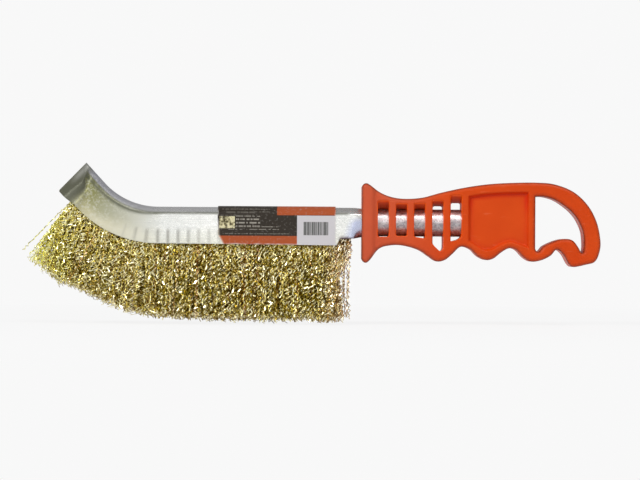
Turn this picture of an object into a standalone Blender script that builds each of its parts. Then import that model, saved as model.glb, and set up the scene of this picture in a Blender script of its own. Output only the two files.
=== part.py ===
"""Hand-held wire scratch brush: a folded steel channel with crimped brass-plated wire, on a moulded handle.

The frame is the brush standing on its trimmed wire tips: +X runs along the brush towards the handle,
+Z is up, and Y = 0 is the plane that both halves mirror in. All sizes are in metres.
"""

import math

import bmesh
import bpy
import numpy as np
from mathutils import Matrix, Vector

# Overall layout: where the guard's front face stands, and how high the steel's top runs over the floor
guard_x = 0.0226
brush_height = 0.0536

# Steel body: one blank, folded to a channel in front and rolled to a tube inside the handle
sheet_thickness = 0.0010
channel_width = 0.0110
channel_depth = 0.0173
bend_depth = 0.0168
corner_radius = 0.0030
shank_length = 0.0099
shank_step_length = 0.0015
shank_depth = 0.0142
round_off_length = 0.0045
tube_radius = 0.00625
tube_axis_depth = 0.0068
tube_seam = 0.0006
tube_socket = 0.0020
tube_run_in = 0.0030
straight_length = 0.0935
bend_radius = 0.0335
bend_angle = math.radians(47.5)
tip_length = 0.0124
tip_depth = 0.0182
pinch_length = 0.0050
pinch_taper = 0.0030
pinch_gap = 0.0004
tip_corner = 0.0022

# Wire trim: bundles folded over a retaining wire that lies in the channel
core_radius = 0.0013
core_cover = 0.0019
fit_gap = 0.0003
slice_gap = 0.0004
mouth_recess = 0.0005
strip_rear_margin = 0.0005
strip_front_margin = 0.0003
tip_half_width = 0.0090
tip_spread_power = 1.4
front_lean = math.radians(8)
lean_start_share = 0.70
crimp_height = 0.0004
bundle_count = 25
strand_pairs_per_leg = 3

# Height of the trimmed tips under the steel's top, as shares of brush_height along the strip's length
trim_place_shares = (0.0, 0.45, 0.66, 0.75, 0.81, 0.86, 0.90, 0.94, 1.0)
trim_reach_shares = (1.0, 1.0, 0.975, 0.944, 0.914, 0.898, 0.900, 0.925, 0.940)
# Each strand: shares of its free length where its section is set, its width and its sideways crimp there
ring_place_shares = (0.14, 0.42, 0.71, 1.0)
ring_width_shares = (0.42, 0.36, 0.32, 0.30)
ring_crimp_shares = (-1.0, 1.0, -1.0, 1.0)

# Label wrapped over the channel
label_thickness = 0.0002
label_margin = 0.0005
label_length = 0.0540

# Handle moulding
handle_length = 0.1093
guard_height = 0.0363
grip_thickness = 0.0180
guard_thickness = 0.0208
guard_depth = 0.0045
guard_slope = 0.0022
edge_round = 0.0014
outline_step = 0.0021
panel_depth = 0.0016
window_count = 5
window_margin = 0.0006
window_width = 0.0053
window_bar = 0.0030
window_draft = 0.0006
cut_overrun = 0.0010
weld_distance = 0.000003

# Outer outline of the handle, as shares of handle_length and of guard_height, from the tube's axis
front_face_shares = ((0.0, -0.458), (0.0, 0.452))
outer_edge_shares = (
    (0.0, 0.452), (0.006, 0.481), (0.018, 0.496), (0.033, 0.477), (0.079, 0.378), (0.130, 0.320),
    (0.188, 0.302), (0.256, 0.320), (0.332, 0.382), (0.433, 0.449), (0.533, 0.493), (0.635, 0.512),
    (0.736, 0.516), (0.810, 0.493), (0.887, 0.400), (0.947, 0.231), (0.984, 0.022), (1.0, -0.210),
    (0.996, -0.358), (0.977, -0.477), (0.938, -0.516), (0.889, -0.545), (0.868, -0.512),
    (0.843, -0.383), (0.816, -0.329), (0.791, -0.405), (0.752, -0.463), (0.710, -0.480),
    (0.679, -0.430), (0.648, -0.336), (0.618, -0.314), (0.586, -0.364), (0.551, -0.446),
    (0.518, -0.463), (0.485, -0.416), (0.454, -0.328), (0.414, -0.300), (0.381, -0.388),
    (0.349, -0.466), (0.314, -0.485), (0.280, -0.424), (0.238, -0.342), (0.174, -0.288),
    (0.119, -0.287), (0.073, -0.331), (0.036, -0.468), (0.019, -0.508), (0.006, -0.490),
    (0.0, -0.458),
)
# Hanging loop, in the same shares: its straight edge, then round the opening
loop_edge_shares = ((0.727, 0.339), (0.727, -0.320))
loop_round_shares = (
    (0.727, -0.320), (0.733, -0.350), (0.741, -0.352), (0.749, -0.330), (0.764, -0.281),
    (0.804, -0.223), (0.839, -0.194), (0.869, -0.194), (0.889, -0.223), (0.907, -0.295),
    (0.921, -0.368), (0.927, -0.366), (0.931, -0.295), (0.930, -0.189), (0.925, -0.091),
    (0.909, 0.022), (0.887, 0.118), (0.855, 0.207), (0.810, 0.295), (0.764, 0.337),
    (0.727, 0.339),
)
# Side panel: a shallow recess that follows the outer edge above and the finger bumps below
panel_top_shares = ((0.446, 0.352), (0.500, 0.376), (0.560, 0.392), (0.625, 0.400), (0.690, 0.402))
panel_rear_shares = ((0.690, 0.402), (0.690, -0.305))
panel_foot_shares = (
    (0.690, -0.305), (0.655, -0.268), (0.618, -0.245), (0.580, -0.285), (0.548, -0.335),
    (0.514, -0.343), (0.480, -0.298), (0.446, -0.235),
)
panel_front_shares = ((0.446, -0.235), (0.446, 0.352))
# Windows, as shares of guard_height: mouth top, throat top, then lower edge left, low point and right
window_shares = (
    (0.278, 0.160, -0.176, -0.176, -0.176),
    (0.243, 0.160, -0.165, -0.165, -0.165),
    (0.250, 0.160, -0.174, -0.190, -0.200),
    (0.284, 0.212, -0.264, -0.362, -0.325),
    (0.350, 0.253, -0.237, -0.205, -0.170),
)
window_low_point_share = 0.72

steel_colour = (0.52, 0.53, 0.52, 1.0)
wire_colour = (0.60, 0.45, 0.14, 1.0)
core_colour = (0.35, 0.35, 0.36, 1.0)
handle_colour = (0.67, 0.065, 0.010, 1.0)
label_colour = (0.040, 0.028, 0.022, 1.0)

wall_steps = 4
corner_steps = 3
bend_steps = 9
round_off_steps = 5
bore_corners = 4

mouth_depth = bend_depth - mouth_recess
strip_start = round_off_length + strip_rear_margin
strip_end_margin = pinch_length + pinch_taper + strip_front_margin
strip_line_bend = (bend_radius + mouth_depth) * bend_angle
strip_length = straight_length - strip_start + strip_line_bend + tip_length - strip_end_margin
core_depth = sheet_thickness + fit_gap + core_cover + core_radius
slice_half_width = channel_width / 2 - sheet_thickness - fit_gap
label_start = shank_length + shank_step_length + label_margin
label_offset = fit_gap + label_thickness
tube_axis_z = brush_height - tube_axis_depth
first_window_x = guard_depth + guard_slope + window_margin
window_field = window_count * window_width + (window_count - 1) * window_bar
tube_in_handle = first_window_x + window_field + tube_socket


def clear_scene():
    """Remove whatever the scene holds."""
    for thing in list(bpy.data.objects):
        bpy.data.objects.remove(thing, do_unlink=True)


def new_collection(name):
    """A collection linked under the scene."""
    made = bpy.data.collections.new(name)
    bpy.context.scene.collection.children.link(made)
    return made


def make_material(name, colour, roughness, metallic):
    """Principled material of one colour."""
    made = bpy.data.materials.new(name)
    made.use_nodes = True
    shader = made.node_tree.nodes["Principled BSDF"]
    shader.inputs["Base Color"].default_value = colour
    shader.inputs["Roughness"].default_value = roughness
    shader.inputs["Metallic"].default_value = metallic
    return made


def add_object(name, mesh, collection, material, parent=None):
    """Link a mesh as an object of the collection, with its material."""
    made = bpy.data.objects.new(name, mesh)
    if material is not None:
        mesh.materials.clear()
        mesh.materials.append(material)
    collection.objects.link(made)
    made.parent = parent
    return made


def shift_origin(thing, origin):
    """Put the object's own origin at a point, with its shape left where it is."""
    thing.data.transform(Matrix.Translation(-Vector(origin)))
    thing.location = origin


def place(distance, y, depth, line_depth=0.0):
    """Point under the steel's top, at a depth square to it and y off the middle plane.

    The distance runs forward from the guard along the line that lies line_depth under the top:
    straight, then round the bend, then straight again to the tip.
    """
    bend_length = (bend_radius + line_depth) * bend_angle
    angle = min(max(distance - straight_length, 0.0), bend_length) / (bend_radius + line_depth)
    straight = min(distance, straight_length)
    beyond = max(distance - straight_length - bend_length, 0.0)
    radius = bend_radius + depth
    x = guard_x - straight - radius * math.sin(angle) - beyond * math.cos(angle)
    z = brush_height + bend_radius - radius * math.cos(angle) + beyond * math.sin(angle)
    return Vector((x, y, z))


def channel_section(width, depth, radius):
    """Half-open channel from one lower edge over the top to the other, as (y, depth) pairs."""
    half = width / 2
    rise = np.linspace(depth, radius, wall_steps + 1)[:-1]
    turn = np.linspace(0, math.pi / 2, corner_steps + 1)
    right = [(half, level) for level in rise]
    right += [(half - radius + radius * math.cos(a), radius - radius * math.sin(a)) for a in turn]
    left = [(-y, level) for y, level in reversed(right)]
    return np.array(right + [(0.0, 0.0)] + left)


def tube_section(radius, axis_depth, seam):
    """Round tube with an open seam at its foot, with as many points as the channel's section."""
    opening = seam / (2 * radius)
    count = 2 * (wall_steps + corner_steps + 1) + 1
    turn = np.linspace(opening - math.pi / 2, 3 * math.pi / 2 - opening, count)
    return np.column_stack((radius * np.cos(turn), axis_depth - radius * np.sin(turn)))


def join_rows(name, rows, solid):
    """Mesh through rows of points, all alike in number: an open sheet, or a solid between its end rows."""
    mesh = bpy.data.meshes.new(name)
    shape = bmesh.new()
    rows = [[shape.verts.new(point) for point in row] for row in rows]
    for near, far in zip(rows, rows[1:]):
        if solid:
            near, far = near + near[:1], far + far[:1]
        for corners in zip(near, near[1:], far[1:], far):
            shape.faces.new(corners)
    if solid:
        shape.faces.new(rows[0])
        shape.faces.new(rows[-1])
    bmesh.ops.triangulate(shape, faces=shape.faces)
    bmesh.ops.recalc_face_normals(shape, faces=shape.faces)
    shape.to_mesh(mesh)
    shape.free()
    return mesh


def loft(name, stations, solid=False):
    """Mesh through sections of the steel, given as (distance, section)."""
    rows = [[place(distance, y, depth) for y, depth in section] for distance, section in stations]
    return join_rows(name, rows, solid)


def depth_at(distance):
    """Depth of the channel's walls along the straight run."""
    share = (distance - shank_length - shank_step_length) / (
        straight_length - shank_length - shank_step_length
    )
    return channel_depth + (bend_depth - channel_depth) * share


def rear_stations(offset=0.0):
    """Sections of the tube inside the handle and of the shank that it opens into."""
    tube = tube_section(tube_radius + offset, tube_axis_depth, tube_seam)
    shank = channel_section(
        channel_width + 2 * offset, shank_depth + 2 * offset, corner_radius + offset
    )
    shank[:, 1] -= offset
    stations = [(-tube_in_handle - offset, tube), (-tube_run_in, tube)]
    for step in range(1, round_off_steps + 1):
        share = step / round_off_steps
        eased = share * share * (3 - 2 * share)
        distance = -tube_run_in + (tube_run_in + round_off_length) * share
        stations.append((distance, tube * (1 - eased) + shank * eased))
    return stations, shank


def make_steel_body(collection, material, parent):
    """Folded sheet: tube, shank, channel, bend and the tip pinched shut, thickened inwards."""
    stations, shank = rear_stations()
    stations.append((shank_length, shank))
    for distance in (shank_length + shank_step_length, straight_length):
        stations.append(
            (distance, channel_section(channel_width, depth_at(distance), corner_radius))
        )
    bend_length = bend_radius * bend_angle
    bent = channel_section(channel_width, bend_depth, corner_radius)
    for step in range(1, bend_steps + 1):
        stations.append((straight_length + bend_length * step / bend_steps, bent))
    end = straight_length + bend_length + tip_length
    stations.append((end - pinch_length - pinch_taper, bent))
    shut_width = 2 * sheet_thickness + pinch_gap
    shut = channel_section(shut_width, tip_depth, shut_width / 2)
    stations.append((end - pinch_length - pinch_taper / 2, (bent + shut) / 2))
    stations.append((end - pinch_length, shut))
    stations.append((end - tip_corner, shut))
    nose = channel_section(shut_width, tip_depth - tip_corner / 2, shut_width / 2)
    stations.append((end, nose))
    body = add_object("steel_body", loft("steel_body", stations), collection, material, parent)
    shell = body.modifiers.new("sheet", "SOLIDIFY")
    shell.thickness = sheet_thickness
    shell.offset = -1.0
    shell.use_even_offset = True
    return body


def make_label(collection, material, parent):
    """Printed skin wrapped over the channel, from one lower edge to the other."""
    stations = []
    for distance in (label_start, label_start + label_length):
        skin = channel_section(
            channel_width + 2 * label_offset,
            depth_at(distance) + label_offset,
            corner_radius + label_offset,
        )
        skin[:, 1] -= label_offset
        stations.append((distance, skin))
    label = add_object("label_sleeve", loft("label_sleeve", stations), collection, material, parent)
    skin_modifier = label.modifiers.new("skin", "SOLIDIFY")
    skin_modifier.thickness = label_thickness
    skin_modifier.offset = -1.0
    skin_modifier.use_even_offset = True
    return label


def make_retaining_wire(collection, material, parent):
    """Round wire that the bundles are folded over, along the whole strip."""
    line_bend = (bend_radius + core_depth) * bend_angle
    start = strip_start
    end = straight_length + line_bend + tip_length - strip_end_margin
    straight_run = [start, straight_length]
    round_run = [straight_length + line_bend * step / bend_steps for step in range(1, bend_steps + 1)]
    curve = bpy.data.curves.new("retaining_wire", "CURVE")
    curve.dimensions = "3D"
    curve.bevel_depth = core_radius
    curve.bevel_resolution = 1
    curve.use_fill_caps = True
    spline = curve.splines.new("POLY")
    runs = straight_run + round_run + [end]
    spline.points.add(len(runs) - 1)
    for point, distance in zip(spline.points, runs):
        point.co = (*place(distance, 0.0, core_depth, core_depth), 1.0)
    wire = bpy.data.objects.new("retaining_wire", curve)
    curve.materials.append(material)
    collection.objects.link(wire)
    wire.parent = parent
    return wire


def slice_section():
    """Section of one folded bundle: two legs that meet over the retaining wire, as (y, depth) pairs."""
    half = slice_half_width
    top = sheet_thickness + fit_gap
    chamfer = corner_radius - sheet_thickness
    bore_step = 5 * math.pi / 3 / (bore_corners - 1)
    hole = (core_radius + fit_gap) / math.cos(bore_step / 2)
    slit = slice_gap / 2
    foot = core_depth + math.sqrt(hole**2 - slit**2)
    turn = 4 * math.pi / 3 - bore_step * np.arange(bore_corners)
    right = [(half, mouth_depth), (half, top + chamfer), (half - chamfer, top)]
    left = [(-y, depth) for y, depth in reversed(right)]
    bore = [(hole * math.cos(a), core_depth - hole * math.sin(a)) for a in turn]
    inner = [(-slit, mouth_depth), (-slit, foot)] + bore + [(slit, foot), (slit, mouth_depth)]
    return right + left + inner


def reach_at(run):
    """Depth of the trimmed tips under the steel's top, at a length along the strip."""
    shares = np.interp(run / strip_length, trim_place_shares, trim_reach_shares)
    return brush_height * float(shares)


def make_bundle(index, collection, material, parent):
    """One slice of the trim: its folded backing, and from each leg's foot the strands, fused to it."""
    pitch = strip_length / bundle_count
    start = pitch * index + slice_gap / 2
    end = pitch * (index + 1) - slice_gap / 2
    section = slice_section()
    shape = bmesh.new()
    rings = []
    for run in (start, end):
        ring = [place(strip_start + run, y, depth, mouth_depth) for y, depth in section]
        rings.append([shape.verts.new(point) for point in ring])
    count = len(section)
    feet = []
    for corner in range(count):
        following = (corner + 1) % count
        face = shape.faces.new(
            (rings[0][corner], rings[0][following], rings[1][following], rings[1][corner])
        )
        if section[corner][1] == mouth_depth and section[following][1] == mouth_depth:
            feet.append(face)
    shape.faces.new(rings[0])
    shape.faces.new(rings[1])
    bmesh.ops.recalc_face_normals(shape, faces=shape.faces)
    cells = cut_feet(shape, feet, start, end)
    for cell in cells:
        draw_strand(shape, cell)
    mesh = bpy.data.meshes.new(f"bristle_bundle_{index + 1:02d}")
    shape.to_mesh(mesh)
    shape.free()
    bundle = add_object(f"bristle_bundle_{index + 1:02d}", mesh, collection, material, parent)
    shift_origin(bundle, place(strip_start + (start + end) / 2, 0.0, mouth_depth, mouth_depth))
    return bundle


def cut_feet(shape, feet, start, end):
    """Cut both feet across into cells, and each cell into two triangles."""
    cells = list(feet)
    for step in range(1, strand_pairs_per_leg):
        run = start + (end - start) * step / strand_pairs_per_leg
        low = place(strip_start + run, 0.0, mouth_depth, mouth_depth)
        high = place(strip_start + run, 0.0, 0.0, mouth_depth)
        normal = (high - low).cross(Vector((0.0, 1.0, 0.0))).normalized()
        edges = {edge for cell in cells for edge in cell.edges}
        corners = {vertex for cell in cells for vertex in cell.verts}
        made = bmesh.ops.bisect_plane(
            shape, geom=cells + list(edges) + list(corners), plane_co=low, plane_no=normal
        )
        cells = [part for part in made["geom"] if isinstance(part, bmesh.types.BMFace)]
    return bmesh.ops.triangulate(shape, faces=cells)["faces"]


def run_of(point):
    """Length along the strip at the foot of a point that lies at the mouth's depth."""
    bend_x = guard_x - straight_length
    if point.x >= bend_x:
        return guard_x - point.x - strip_start
    centre_z = brush_height + bend_radius
    angle = math.atan2(bend_x - point.x, centre_z - point.z)
    if angle <= bend_angle:
        return straight_length - strip_start + (bend_radius + mouth_depth) * angle
    ahead = Vector((-math.cos(bend_angle), math.sin(bend_angle)))
    beyond = Vector((point.x - bend_x, point.z - centre_z)).dot(ahead)
    return straight_length - strip_start + strip_line_bend + beyond


def draw_strand(shape, cell):
    """Draw one triangular cell out into a crimped strand that fans sideways to its trimmed tip."""
    corners = [(run_of(vertex.co), vertex.co.y) for vertex in cell.verts]
    centre_run = sum(run for run, _ in corners) / len(corners)
    centre_y = sum(y for _, y in corners) / len(corners)
    outward = abs(centre_y / slice_half_width) ** tip_spread_power
    tip_y = math.copysign(tip_half_width * outward, centre_y)
    free = reach_at(centre_run) - mouth_depth
    lean = math.tan(front_lean) * max(0.0, (centre_run / strip_length - lean_start_share)) / (
        1 - lean_start_share
    )
    face = cell
    for where, width, crimp in zip(ring_place_shares, ring_width_shares, ring_crimp_shares):
        made = bmesh.ops.extrude_discrete_faces(shape, faces=[face])
        face = made["faces"][0]
        middle_run = centre_run + crimp_height * crimp * where - lean * free * where
        middle_y = centre_y + (tip_y - centre_y) * where
        for vertex, (run, y) in zip(face.verts, corners):
            along = middle_run + (run - centre_run) * width
            across = middle_y + (y - centre_y) * width
            vertex.co = place(strip_start + along, across, mouth_depth + free * where, mouth_depth)


def smooth_through(knots, step):
    """Points of a smooth line through the knots, about one step apart, without its last point."""
    ends = [2 * knots[0] - knots[1], *knots, 2 * knots[-1] - knots[-2]]
    points = []
    for before, here, after, later in zip(ends, ends[1:], ends[2:], ends[3:]):
        count = max(1, round(float(np.linalg.norm(after - here)) / step))
        for share in np.arange(count) / count:
            points.append(
                here
                + (after - before) * share / 2
                + (2 * before - 5 * here + 4 * after - later) * share**2 / 2
                + (3 * here - before - 3 * after + later) * share**3 / 2
            )
    return points


def outline(*strokes):
    """Closed outline in metres from strokes of shares, each one smooth, with a corner where they meet."""
    size = np.array((handle_length, guard_height))
    points = []
    for stroke in strokes:
        knots = [np.array(knot) * size for knot in stroke]
        straight = len(stroke) == 2
        points += [knots[0]] if straight else smooth_through(knots, outline_step)
    return points


def flat_shape(name, outlines, thickness, rounding=0.0):
    """Mesh of flat closed outlines given a thickness, centred on the plane, with rounded edges."""
    curve = bpy.data.curves.new(name, "CURVE")
    curve.dimensions = "2D"
    curve.fill_mode = "BOTH"
    curve.extrude = thickness / 2 - rounding
    curve.bevel_depth = rounding
    curve.bevel_resolution = 1
    curve.offset = -rounding
    for points in outlines:
        spline = curve.splines.new("POLY")
        spline.points.add(len(points) - 1)
        for point, (x, y) in zip(spline.points, points):
            point.co = (x, y, 0.0, 1.0)
        spline.use_cyclic_u = True
    drawn = bpy.data.objects.new(name, curve)
    bpy.context.scene.collection.objects.link(drawn)
    graph = bpy.context.evaluated_depsgraph_get()
    mesh = bpy.data.meshes.new_from_object(drawn.evaluated_get(graph))
    bpy.data.objects.remove(drawn, do_unlink=True)
    shape = bmesh.new()
    shape.from_mesh(mesh)
    bmesh.ops.remove_doubles(shape, verts=shape.verts, dist=weld_distance)
    bmesh.ops.recalc_face_normals(shape, faces=shape.faces)
    shape.to_mesh(mesh)
    shape.free()
    mesh.name = name
    return mesh


def widen_guard(mesh):
    """Thicken the flat shape behind its front face to the guard, with a slope back to the grip."""
    shape = bmesh.new()
    shape.from_mesh(mesh)
    for x in (guard_depth, guard_depth + guard_slope):
        parts = list(shape.verts) + list(shape.edges) + list(shape.faces)
        bmesh.ops.bisect_plane(shape, geom=parts, plane_co=(x, 0, 0), plane_no=(1, 0, 0))
    for vertex in shape.verts:
        share = min(max(1 - (vertex.co.x - guard_depth) / guard_slope, 0.0), 1.0)
        vertex.co.z *= 1 + (guard_thickness / grip_thickness - 1) * share
    bmesh.ops.triangulate(shape, faces=shape.faces)
    shape.to_mesh(mesh)
    shape.free()


def window_cutter(index):
    """Cutter of one window: a mouth at each side that narrows to the throat at the middle plane."""
    mouth_top, throat_top, left, low, right = (
        share * guard_height for share in window_shares[index]
    )
    x0 = first_window_x + (window_width + window_bar) * index
    x1 = x0 + window_width
    reach = grip_thickness / 2 + cut_overrun
    low_x = x0 + window_width * window_low_point_share
    rows = []
    for z, top, inset in ((-reach, mouth_top, 0), (0, throat_top, window_draft), (reach, mouth_top, 0)):
        near_x = x0 + inset
        far_x = x1 - inset
        ring = ((near_x, top), (far_x, top), (far_x, right), (low_x, low), (near_x, left))
        rows.append([(x, y, z) for x, y in ring])
    return join_rows(f"window_cutter_{index + 1}", rows, solid=True)


def add_cutter(target, mesh, collection, parent, placing):
    """Cut a hidden helper shape out of the target."""
    helper = add_object(mesh.name, mesh, collection, None, parent)
    helper.matrix_local = placing
    helper.hide_render = True
    helper.display_type = "WIRE"
    cut = target.modifiers.new(mesh.name, "BOOLEAN")
    cut.operation = "DIFFERENCE"
    cut.solver = "EXACT"
    cut.object = helper


def make_handle(collection, cutters, material, parent):
    """Moulded handle: flat outline with guard, bumps and hanging loop, cut for tube, windows and panels."""
    outer = outline(front_face_shares, outer_edge_shares)
    loop = outline(loop_edge_shares, loop_round_shares)
    mesh = flat_shape("grip_handle", (outer, loop), grip_thickness, edge_round)
    widen_guard(mesh)
    standing = Matrix.Translation((guard_x, 0, tube_axis_z)) @ Matrix.Rotation(math.pi / 2, 4, "X")
    handle = add_object("grip_handle", mesh, collection, material, parent)
    handle.matrix_local = standing

    stations, shank = rear_stations(fit_gap)
    stations.append((shank_length, shank))
    bore = loft("tube_bore_cutter", stations, solid=True)
    add_cutter(handle, bore, cutters, parent, Matrix())
    for index in range(window_count):
        add_cutter(handle, window_cutter(index), cutters, parent, standing)
    edge = outline(panel_top_shares, panel_rear_shares, panel_foot_shares, panel_front_shares)
    for name, side in (("right_panel_cutter", -1), ("left_panel_cutter", 1)):
        panel = flat_shape(name, (edge,), 2 * panel_depth)
        lifted = standing @ Matrix.Translation((0, 0, side * grip_thickness / 2))
        add_cutter(handle, panel, cutters, parent, lifted)
    return handle


def main():
    clear_scene()
    parts = new_collection("hand_wire_brush")
    cutters = new_collection("brush_cutters")
    root = bpy.data.objects.new("brush_root", None)
    parts.objects.link(root)
    steel = make_material("galvanised_steel", steel_colour, 0.38, 0.9)
    wire = make_material("brass_plated_wire", wire_colour, 0.35, 0.9)
    core = make_material("retaining_wire_steel", core_colour, 0.5, 0.9)
    plastic = make_material("moulded_plastic", handle_colour, 0.45, 0.0)
    printed = make_material("label_print", label_colour, 0.5, 0.0)
    make_steel_body(parts, steel, root)
    make_label(parts, printed, root)
    make_retaining_wire(parts, core, root)
    make_handle(parts, cutters, plastic, root)
    for index in range(bundle_count):
        make_bundle(index, parts, wire, root)


main()
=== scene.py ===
# %% [markdown]
# # A wire scratch brush, cell by cell
#
# This lesson dresses a finished CAD model of a hand wire brush. The CAD frame gives the sizes and the
# places. Each cell below adds one real piece or one finish: the folded steel, the printed label, the
# crimped wires and the moulded handle. The brush stands on its trimmed wire tips, with +X towards the
# handle, +Z up, and the plane Y = 0 in the middle of its thickness.

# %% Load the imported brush
import math

import bmesh
import bpy
import numpy as np
from mathutils import Matrix, Vector, geometry


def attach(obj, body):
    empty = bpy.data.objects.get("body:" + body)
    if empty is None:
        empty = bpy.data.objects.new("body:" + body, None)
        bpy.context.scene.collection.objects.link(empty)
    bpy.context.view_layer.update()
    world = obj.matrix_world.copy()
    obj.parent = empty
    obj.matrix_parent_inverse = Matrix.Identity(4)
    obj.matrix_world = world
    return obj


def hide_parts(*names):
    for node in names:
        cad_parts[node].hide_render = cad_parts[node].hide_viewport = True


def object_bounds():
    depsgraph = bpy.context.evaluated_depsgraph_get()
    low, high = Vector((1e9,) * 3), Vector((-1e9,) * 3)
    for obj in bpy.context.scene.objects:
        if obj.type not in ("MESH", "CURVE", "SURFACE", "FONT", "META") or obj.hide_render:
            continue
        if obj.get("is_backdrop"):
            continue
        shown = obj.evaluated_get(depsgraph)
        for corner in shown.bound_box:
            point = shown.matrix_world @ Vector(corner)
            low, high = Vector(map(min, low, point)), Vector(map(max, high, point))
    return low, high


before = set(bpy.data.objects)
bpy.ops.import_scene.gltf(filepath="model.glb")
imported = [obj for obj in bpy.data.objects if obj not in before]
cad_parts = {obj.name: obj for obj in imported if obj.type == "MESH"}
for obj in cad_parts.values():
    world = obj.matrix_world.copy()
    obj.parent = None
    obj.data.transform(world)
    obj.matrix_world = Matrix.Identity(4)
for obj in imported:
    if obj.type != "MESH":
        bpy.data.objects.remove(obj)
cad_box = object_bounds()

print("CAD nodes:", len(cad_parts))

# %% [markdown]
# ## Sizes
#
# The looks follow the CAD, so the same named sizes come back here, in metres. The steel is measured
# along its top, forward from the guard's front face. The handle is measured from the guard and from
# the tube's axis.

# %% Sizes of the steel body
mm = 0.001
guard_x = 22.6 * mm
brush_height = 53.6 * mm
sheet_thickness = 1.0 * mm
channel_width = 11.0 * mm
channel_depth = 17.3 * mm
bend_depth = 16.8 * mm
crown_height = 3.0 * mm
shank_length = 9.9 * mm
shank_end = shank_length + 1.5 * mm
shank_depth = 14.2 * mm
round_off_length = 4.5 * mm
tube_radius = 6.25 * mm
tube_axis_depth = 6.8 * mm
tube_seam = 0.6 * mm
tube_run_in = 3.0 * mm
tube_in_handle = 47.8 * mm
straight_length = 93.5 * mm
bend_radius = 33.5 * mm
bend_angle = math.radians(47.5)
tip_length = 12.4 * mm
steel_end = straight_length + bend_radius * bend_angle + tip_length
tip_depth = 18.2 * mm
tip_corner = 0.8 * mm
pinch_gap = 0.4 * mm
fit_gap = 0.3 * mm

# %% Sizes of the wire trim and of the label
mouth_depth = bend_depth - 0.5 * mm
strip_start = 5.0 * mm
strip_end_margin = 8.3 * mm
strip_length = (
    straight_length - strip_start + (bend_radius + mouth_depth) * bend_angle + tip_length - strip_end_margin
)
bundle_count = 25
tip_half_width = 9.0 * mm
label_start = 11.9 * mm
label_length = 54.0 * mm
label_thickness = 0.2 * mm
print(f"wire strip: {strip_length / mm:.1f} mm long")

# %% Sizes of the handle
handle_length = 109.3 * mm
guard_height = 36.3 * mm
tube_axis_z = brush_height - tube_axis_depth
grip_thickness = 18.0 * mm
guard_thickness = 20.8 * mm
guard_depth = 4.5 * mm
guard_slope = 2.2 * mm
edge_round = 1.9 * mm
panel_depth = 1.6 * mm
panel_wall = 1.5 * mm
window_width = 5.3 * mm
window_bar = 3.0 * mm
window_draft = 0.6 * mm
first_window = 7.3 * mm
window_corner = 0.9 * mm
window_rim = 0.5 * mm

# %% [markdown]
# ## Helpers that every piece uses
#
# A piece is a grid of points worked out by numpy as one array. Neighbours in the grid are joined by
# four-sided faces. Each finished piece rides on the CAD's one body, and the CAD node that it stands
# for is hidden.

# %% Grids of points into meshes
def smoothstep(share):
    """Ease from 0 to 1: 3 t^2 - 2 t^3, with t held between 0 and 1."""
    t = np.clip(share, 0.0, 1.0)
    return t * t * (3 - 2 * t)


def ease(value, start, length):
    """Smoothstep of how far the value is past the start: t = (value - start) / length."""
    return smoothstep((value - start) / length)


def spaced(places, counts):
    """Values from place to place, with each count of even steps between two of them."""
    spans = [np.linspace(*ends, n, endpoint=False) for *ends, n in zip(places, places[1:], counts)]
    return np.concatenate((*spans, places[-1:]))


def grid_faces(rows, columns, wrap=False):
    """Corner numbers of the quads of a grid; with wrap the last column joins the first again."""
    row = np.arange(rows - 1)[:, None] * columns
    here = np.arange(columns if wrap else columns - 1)
    after = (here + 1) % columns
    corners = (row + here, row + columns + here, row + columns + after, row + after)
    return np.stack(corners, axis=-1).reshape(-1, 4)


def link_object(name, data):
    """Object at the origin in the scene."""
    made = bpy.data.objects.new(name, data)
    bpy.context.scene.collection.objects.link(made)
    return made


def mesh_object(name, points, *faces):
    """Object from an array of points and arrays of corner numbers."""
    mesh = bpy.data.meshes.new(name)
    corners = [face for part in faces for face in part.tolist()]
    mesh.from_pydata(np.asarray(points).reshape(-1, 3).tolist(), [], corners)
    mesh.update()
    return link_object(name, mesh)


def add_modifier(thing, kind, **settings):
    """Give the object a modifier with its settings."""
    made = thing.modifiers.new(kind, kind)
    for name, value in settings.items():
        setattr(made, name, value)


def settle_modifiers(thing, sharp_degrees):
    """Make the modifiers' result the object's own mesh, smooth but for edges sharper than the angle."""
    graph = bpy.context.evaluated_depsgraph_get()
    mesh = bpy.data.meshes.new_from_object(thing.evaluated_get(graph))
    thing.modifiers.clear()
    thing.data = mesh
    mesh.shade_smooth()
    mesh.set_sharp_from_angle(angle=math.radians(sharp_degrees))


def store_values(thing, domain="POINT", **layers):
    """Keep numbers for each point, or for each face, for the material to read by their names."""
    for name, values in layers.items():
        layer = thing.data.attributes.new(name, "FLOAT", domain)
        layer.data.foreach_set("value", np.asarray(values, np.float32).ravel())


def finish_piece(thing, slot, material, *nodes):
    """Give the piece its material, let it ride on the body and stand for its CAD node; the slot is not used."""
    thing.data.materials.clear()
    thing.data.materials.append(material)
    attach(thing, "root")
    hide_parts(*nodes)
    print(f"{thing.name}: {len(thing.data.vertices)} points, {len(thing.data.polygons)} faces")


# %% [markdown]
# ## Shader helpers
#
# Materials are built from nodes. Each small function adds a node and gives back its socket, so a
# material reads as a list of masks and of the colours that they let through. What several finishes
# share are node groups: fine grain, worn edges and a printed patch with sharp borders. They only put
# out masks and heights, and the shader itself stays in each material.

# %% Placing shader nodes
def fill(node, inputs):
    """Link a node's inputs or set their values; a colour gets its alpha of 1."""
    for name, value in inputs.items():
        socket = node.inputs[name]
        if isinstance(value, bpy.types.NodeSocket):
            node.id_data.links.new(value, socket)
        else:
            socket.default_value = (*value, 1.0) if socket.type == "RGBA" else value


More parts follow.
